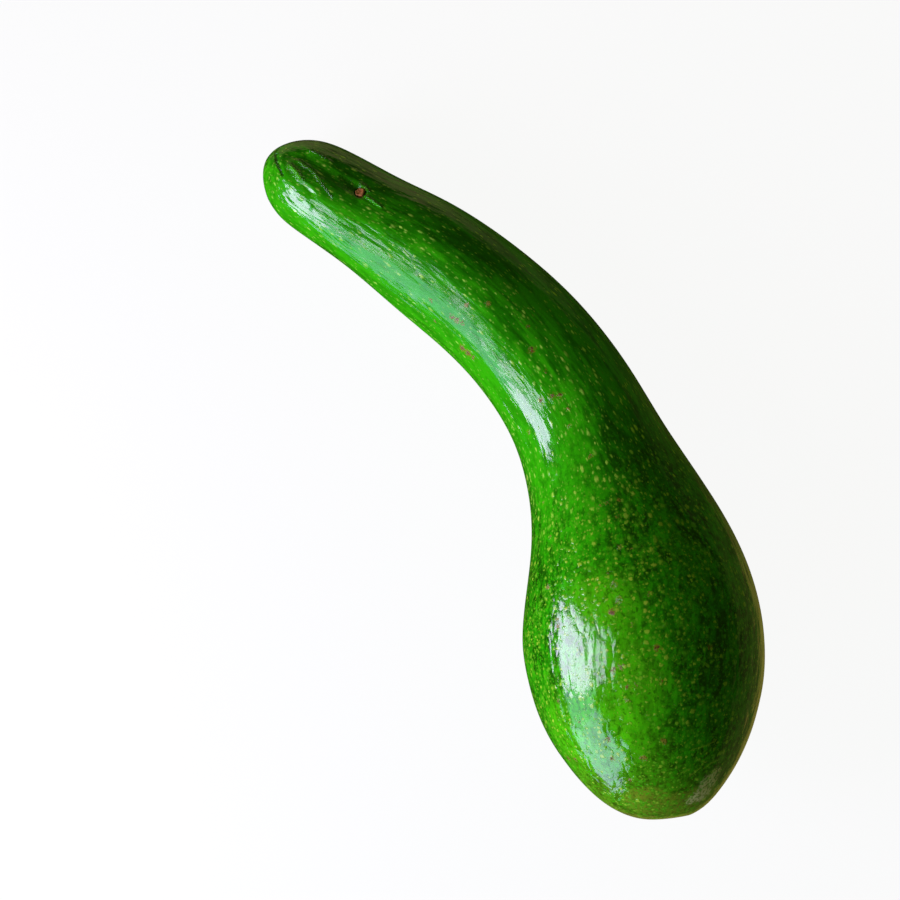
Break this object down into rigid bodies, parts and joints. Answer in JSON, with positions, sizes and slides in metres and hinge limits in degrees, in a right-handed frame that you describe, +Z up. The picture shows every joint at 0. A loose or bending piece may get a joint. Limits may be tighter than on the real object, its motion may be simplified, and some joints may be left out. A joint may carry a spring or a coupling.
{
  "type": "long-necked avocado",
  "caption": "Whole green avocado with a long curved neck, lying on its side, with a dry stem stub in a small pit near the tip of the neck.",
  "frame": {"origin": "middle of the object's box, on the surface that the fruit lies on", "axes": "+Y from the bulb to the tip of the neck, +X towards the outer side of the bend, +Z up"},
  "size_m": [0.0954, 0.2872, 0.0873],
  "materials": {
    "skin": "satin",
    "stem": "matte"
  },
  "bodies": {
    "root": {"avocado": "skin", "stem_stub": "stem"}
  },
  "joints": []
}
